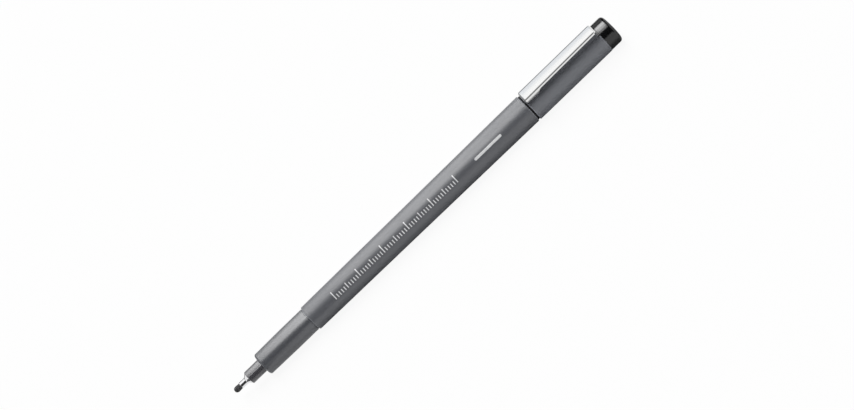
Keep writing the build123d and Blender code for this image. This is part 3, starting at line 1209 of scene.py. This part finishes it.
    def arm(self, bend: np.ndarray) -> Surface:
        """The arm: the outline's wall, crown and face outside, the same a gauge further in, and its rim.

        In words: a row of points follows the outline at some inset and height. The rows run out from the
        middle line of the underside, go down the inside of the flange to the rim, cross the rim, climb the
        outside, turn over the crown in a quarter circle and run in to the middle line of the face.

        Args:
            bend: the middle of the bend.

        Returns:
            The arm, closed at the bend.
        """
        under, shoulder = self.bend_radius, self.top - self.crown_round
        foot = self.foot(self.outline(0)[0])
        nook, inner_foot, outer_foot = under - self.nook, foot + self.rim_inner, foot + self.rim_height
        shares = np.linspace(0, 1, self.wall_rows + 1)
        walls = [
            (self.gauge + self.nook_step, under - self.nook_step, 0.0),
            *[(self.gauge, nook * (1 - share) + inner_foot * share, 0.0) for share in shares],
            (self.gauge - self.rim_inner, foot, self.rim_inner_shade_and_polish),
            *[(inset, foot + lift, wear) for inset, lift, wear in self.rim_outer],
            *[(0.0, outer_foot * (1 - share) + shoulder * share, 0.0) for share in shares],
            *[(self.crown_round * (1 - math.cos(turn)), shoulder + self.crown_round * math.sin(turn),
               self.crown_shade_and_polish) for turn in shares[1:] * QUARTER_TURN],
        ]
        lower = [self.face_row(self.gauge + self.nook, share, under)
                 for share in np.linspace(1, 0, self.under_rows)]
        upper = [self.face_row(self.crown_round, share, self.top) for share in shares[1:]]
        local = np.stack([*lower, *[self.wall_row(inset, height) for inset, height, _ in walls], *upper])
        # Edge values a row: painted shade and polish on the crown and rims.
        wear = np.concatenate([np.zeros(len(lower)), [row[2] for row in walls], np.zeros(len(upper))])
        along, facing = self.ways()
        points = bend + local[..., :1] * along + local[..., 1:2] * self.axis.across + local[..., 2:] * facing
        count, columns = points.shape[:2]
        low = np.arange(count // 2)
        near, far = low * columns, (count - 1 - low) * columns
        end = np.stack([near[:-1], near[1:], far[1:], far[:-1]], -1)
        return Surface.of_grid(points, wear[:, None], False, False).closed([end, end + columns - 1])

    def leg(self, bend: np.ndarray) -> Surface:
        """The bend and the leg: a flat strip carried round a quarter turn and straight down to the ring.

        In words: the strip's section has its crown rounded as the arm's is, and its place along the path is
        a turn about the middle of the bend, then a drop.

        Args:
            bend: the middle of the bend.

        Returns:
            The strip, closed at both ends.
        """
        lift = np.linspace(0, QUARTER_TURN, self.leg_edge_points)
        half = self.root_half
        lower = np.array([(half - self.leg_edge, 0.0), (half, self.leg_edge)])
        upper = np.stack([half - self.crown_round * (1 - np.cos(lift)),
                          self.gauge - self.crown_round * (1 - np.sin(lift))], -1)
        side = np.concatenate([lower, upper])
        section = np.concatenate([side, side[::-1] * (-1, 1)])
        turn = np.radians(np.linspace(90 + self.slope, 0, self.bend_points))
        height = np.dot(bend - self.axis.middle, self.axis.outward)
        drop = np.linspace(0, height - (self.ring_outer - self.ring_overlap), self.drop_points + 1)[1:]
        angle = np.concatenate([turn, 0 * drop])[:, None]
        fall = np.concatenate([0 * turn, drop])[:, None]
        reach = self.bend_radius + section[:, 1]
        points = (bend + (reach * np.cos(angle))[..., None] * self.axis.along
                  + (reach * np.sin(angle) - fall)[..., None] * self.axis.outward
                  + section[:, 0][None, :, None] * self.axis.across)
        count = len(section)
        low = np.arange(count // 2 - 1)
        end = np.stack([low, low + 1, count - 2 - low, count - 1 - low], -1)
        return Surface.of_grid(points, 0.0, False, True).closed([end, end + (len(points) - 1) * count])

    def ring(self) -> Surface:
        """The ring under the end plug: a flat washer turned about the axis of the pen."""
        front, rear = station("clip_root")
        return lathe(self.axis, [
            (front, self.ring_inner, 0), (front, self.ring_outer, self.ring_round),
            (rear, self.ring_outer, self.ring_round), (rear, self.ring_inner, 0),
        ])


@dataclass(frozen=True)
class Sight:
    """How the photograph looks at the pen: angles in degrees, lengths in millimetres, places in pixels."""

    off_clip: float = 29.6
    lean: float = 1.37
    roll: float = 43.99
    distance: float = 745.0
    station: float = 1.87
    pixels_per_focus: float = 2500.0
    picture_width: float = 854.0
    sensor: float = 36.0
    nudge: tuple[float, float] = (0.65, 0.51)

    def upright(self, axis: PenAxis) -> tuple[np.ndarray, np.ndarray]:
        """The two ways square to the pen that the picture and the lamps are turned from.

        Args:
            axis: the pen's axis.

        Returns:
            The way to the camera and the way over the top of the pen.
        """
        off = math.radians(self.off_clip)
        back = axis.outward * math.cos(off) - axis.across * math.sin(off)
        return back, axis.outward * math.sin(off) + axis.across * math.cos(off)

    def ways(self, axis: PenAxis) -> tuple[np.ndarray, np.ndarray, np.ndarray]:
        """The picture's ways, from the pen's own.

        Args:
            axis: the pen's axis.

        Returns:
            Right, up and backward.
        """
        lean, roll = math.radians(self.lean), math.radians(self.roll)
        back, over = self.upright(axis)
        along = axis.along * math.cos(lean) - back * math.sin(lean)
        right = along * math.cos(roll) - over * math.sin(roll)
        up = along * math.sin(roll) + over * math.cos(roll)
        return right, up, back * math.cos(lean) + axis.along * math.sin(lean)


class Lit(Enum):
    """What a lamp lights: the grey plastic, that without the cap, or one piece alone, by its name."""

    PLASTIC = "grey plastic"
    BARREL = "grey plastic without the cap"
    SECTION = "section"
    SLEEVE = "sleeve"
    CLIP = "clip"
    SHEATH = "sheath"
    NOZZLE = "nozzle"
    PLUG = "end_plug"


LEFT_OUT = {
    Lit.PLASTIC: (Lit.CLIP, Lit.SHEATH, Lit.PLUG),
    Lit.BARREL: (Lit.CLIP, Lit.SHEATH, Lit.PLUG, Lit.SLEEVE),
}


@dataclass(frozen=True)
class Softbox:
    """A lamp as the pen sees it, in degrees, at a distance in metres.

    over turns from the camera's side towards the top of the picture, and towards_cap leans along the pen.
    arc is how much of that turn the lamp fills, and width how much of the lean.
    """

    name: str
    over: float
    arc: float
    towards_cap: float
    width: float
    radiance: float
    lights: Lit = Lit.PLASTIC
    distance: float = 4.0
    tint: Colour = WHITE

    def span(self, angle: float) -> float:
        """The length that fills an angle at the lamp's distance, in metres."""
        return 2 * self.distance * math.tan(math.radians(angle / 2))


@dataclass
class Studio:
    """The floor, the light and the camera; stations and widths on the floor are in millimetres."""

    axis: PenAxis
    sight: Sight = field(default_factory=Sight)
    softboxes: tuple[Softbox, ...] = (
        Softbox("key", 82.0, 60.0, 5.5, 13.0, 5.0),
        Softbox("key_near", 41.0, 22.0, 5.5, 13.0, 8.4),
        Softbox("key_soft", 22.0, 16.0, 5.5, 13.0, 3.8, Lit.BARREL),
        Softbox("side", 64.0, 56.0, -7.5, 13.0, 5.6),
        Softbox("side_edge", 32.0, 8.0, -7.5, 13.0, 3.4),
        Softbox("side_far", 102.0, 20.0, -7.5, 13.0, 3.0),
        Softbox("rim", 124.0, 24.0, -1.0, 26.0, 1.2),
        Softbox("cap_fill", -20.0, 20.0, 0.0, 30.0, 0.7, Lit.SLEEVE),
        Softbox("section_fill", -29.5, 12.0, -8.0, 30.0, 0.8, Lit.SECTION, 0.5),
        Softbox("plug_light", 66.0, 44.0, 5.5, 13.0, 9.0, Lit.PLUG),
        Softbox("plug_bright", 71.0, 18.0, 5.5, 13.0, 3.1, Lit.PLUG),
        Softbox("plug_soft", 36.0, 16.0, 5.5, 13.0, 4.0, Lit.PLUG),
        Softbox("plug_far", 108.0, 36.0, 5.5, 13.0, 0.6, Lit.PLUG),
        Softbox("plug_fill", -29.5, 12.0, 12.0, 20.0, 1.0, Lit.PLUG, 0.5),
        Softbox("fill", -29.5, 12.0, 12.0, 20.0, 1.1, Lit.PLASTIC, 0.5),
        Softbox("clip_light", 50.0, 20.0, 1.0, 70.0, 1.12, Lit.CLIP),
        Softbox("clip_middle", 64.0, 8.0, 1.0, 70.0, 0.92, Lit.CLIP, tint=(0.96, 0.99, 1.03)),
        Softbox("clip_far", 88.0, 40.0, 1.0, 70.0, 0.58, Lit.CLIP, tint=(0.93, 0.98, 1.05)),
        Softbox("clip_front", 2.0, 72.0, 0.0, 70.0, 0.35, Lit.CLIP),
        Softbox("clip_back", 126.0, 36.0, 0.0, 70.0, 0.5, Lit.CLIP),
        Softbox("sheath_light", 70.0, 80.0, -5.0, 50.0, 1.15, Lit.SHEATH),
        Softbox("nose_light", 18.0, 16.0, -7.0, 12.0, 5.0, Lit.NOZZLE),
    )
    floor_size: float = 8000.0
    floor_lines: int = 9
    floor_albedo: float = 0.8
    painted_shade_tone: float = 0.1
    floor_glow: float = 0.92
    floor_gloss: float = 0.95
    paper_size: float = 2.0
    paper_drift: float = 0.01
    nose_from: float = -68.5
    nose_soft: float = 4.0
    ahead_from: float = -81.5
    ahead_soft: float = 3.0
    front_from: float = -12.0
    front_soft: float = 8.0
    shade_half: float = 9.0
    shade_soft: float = 6.0
    shade_depth: float = 0.65
    section_clear: float = 0.5
    section_soft: float = 2.0
    dark: float = 0.04
    ends_from: float = 0.63
    ends_soft: float = 0.16
    sight_range: tuple[float, float] = (0.01, 100.0)

    def build(self, pieces: dict[str, bpy.types.Object]) -> None:
        """Set up the stage.

        Args:
            pieces: the pieces of the pen, by name.
        """
        self.floor()
        for box in self.softboxes:
            self.hang(box, pieces)
        self.surroundings()
        self.camera()
        bpy.context.scene.view_settings.view_transform = "Standard"

    def floor(self) -> None:
        """A level sheet, white to the eye, that keeps the pen's shadow.

        Mirrored in the pen it carries a painted shadow, dark right under the barrel and half as dark under
        the front section, and a painted dark reflection in front of the nose and ahead of it.
        """
        ruled = np.linspace(-self.floor_size / 2, self.floor_size / 2, self.floor_lines)
        x, y = np.meshgrid(ruled, ruled)
        sheet = Surface.of_grid(np.stack([x, y, 0 * x], -1), 0.0, False, False).to_object("floor")
        material, graph = new_material("pale_floor")
        beside, before = (part / MM for part in graph.split(graph.place())[:2])
        look, gloss, through = graph.rays()
        nose = (self.nose_from - beside).step(self.nose_soft)
        ahead = (self.ahead_from - beside).step(self.ahead_soft)
        front = gloss * nose * (self.front_from - before).step(self.front_soft).most(ahead)
        section = (station("barrel_tube")[0] - beside).step(self.section_soft) * self.section_clear
        clear = (abs(before) - self.shade_half).step(self.shade_soft).most(section).most(nose)
        # Painted shadow and painted dark reflection, seen only by mirrored rays.
        painted_shade = front.most(gloss * (1 - clear) * self.shade_depth)
        paper = graph.noise(graph.place(), self.paper_size, detail=2)
        low, high = (grey(self.floor_albedo + way * self.paper_drift) for way in (-1, 1))
        colour = graph.blend(painted_shade, graph.blend(paper, low, high), grey(self.painted_shade_tone))
        matt = graph.wire("ShaderNodeBsdfDiffuse", inputs={"Color": colour})
        glow = graph.wire("ShaderNodeEmission", inputs={"Color": (*WHITE, 1), "Strength": 1.0})
        seen = look.most(through).most(gloss * (1 - front) * clear * self.floor_gloss)
        mixed = graph.wire("ShaderNodeMixShader", inputs={0: seen * self.floor_glow, 1: matt, 2: glow})
        graph.add("ShaderNodeOutputMaterial", inputs={"Surface": mixed})
        sheet.data.materials.append(material)

    def hang(self, box: Softbox, pieces: dict[str, bpy.types.Object]) -> None:
        """Hang a softbox where the pen sees it at its angles, facing the pen.

        Args:
            box: the softbox.
            pieces: the pieces of the pen, by name.
        """
        back, over = self.sight.upright(self.axis)
        turn, lean = math.radians(box.over), math.radians(box.towards_cap)
        level = back * math.cos(turn) + over * math.sin(turn)
        towards = level * math.cos(lean) + self.axis.along * math.sin(lean)
        arc = over * math.cos(turn) - back * math.sin(turn)
        lamp = bpy.data.lights.new(box.name, "AREA")
        lamp.shape = "RECTANGLE"
        lamp.size, lamp.size_y = box.span(box.arc), box.span(box.width)
        lamp.energy = box.radiance * math.pi * lamp.size * lamp.size_y
        lamp.color = box.tint
        made = bpy.data.objects.new(box.name, lamp)
        at = self.axis.middle * MM + towards * box.distance
        made.matrix_world = self.frame_of(arc, np.cross(towards, arc), towards, at)
        made.visible_camera = False
        bpy.context.scene.collection.objects.link(made)
        group = bpy.data.collections.new(f"{box.name}_receivers")
        left_out = LEFT_OUT.get(box.lights)
        for kind in left_out or (box.lights,):
            group.objects.link(pieces[kind.value])
        for linked in group.collection_objects:
            linked.light_linking.link_state = "EXCLUDE" if left_out else "INCLUDE"
        made.light_linking.receiver_collection = group

    def surroundings(self) -> None:
        """A room that is white to the eye, and where the pen mirrors it beyond its two ends; else dark."""
        world = bpy.data.worlds.new("room")
        world.use_nodes = True
        bpy.context.scene.world = world
        graph = Graph(world.node_tree)
        look, gloss, through = graph.rays()
        along, _, _ = graph.split(graph.wire("ShaderNodeTexCoord", output="Generated"))
        ends = (abs(along) - self.ends_from).step(self.ends_soft)
        tone = graph.blend(look.most(through).most(gloss * ends), grey(self.dark), WHITE)
        glow = graph.wire("ShaderNodeBackground", inputs={"Color": tone, "Strength": 1.0})
        graph.add("ShaderNodeOutputWorld", inputs={"Surface": glow})

    def camera(self) -> None:
        """The camera at the photograph's viewing angle, nudged so that the pen lies where it does there."""
        right, up, back = self.sight.ways(self.axis)
        pixel = self.sight.distance / self.sight.pixels_per_focus
        aim = self.axis.middle + self.axis.along * self.sight.station
        aim = aim - right * self.sight.nudge[0] * pixel + up * self.sight.nudge[1] * pixel
        lens = bpy.data.cameras.new("camera")
        lens.sensor_width = self.sight.sensor
        lens.lens = self.sight.sensor * self.sight.pixels_per_focus / self.sight.picture_width
        lens.clip_start, lens.clip_end = self.sight_range
        made = bpy.data.objects.new("camera", lens)
        made.matrix_world = self.frame_of(right, up, back, (aim + back * self.sight.distance) * MM)
        bpy.context.scene.collection.objects.link(made)
        bpy.context.scene.camera = made

    @staticmethod
    def frame_of(first: np.ndarray, second: np.ndarray, third: np.ndarray, at: np.ndarray) -> Matrix:
        """A placement.

        Args:
            first: where its own x points.
            second: where its own y points.
            third: where its own z points.
            at: its place, in metres.

        Returns:
            The matrix.
        """
        turn = np.eye(4)
        turn[:3] = np.stack([first, second, third, at], 1)
        return Matrix(turn.tolist())


def main() -> None:
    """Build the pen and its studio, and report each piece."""
    logging.basicConfig(level=logging.INFO, format="%(message)s")
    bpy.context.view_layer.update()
    axis = PenAxis.from_frame()
    studio = Studio(axis)
    pieces = {}
    for maker in (Nose(axis), Barrel(axis, -studio.sight.off_clip), Cap(axis), PocketClip(axis)):
        for piece in maker.build():
            pieces[piece.name] = piece
            log.info("%s: %d faces, %s", piece.name, len(piece.data.polygons), piece.active_material.name)
    studio.build(pieces)


if __name__ == "__main__":
    main()
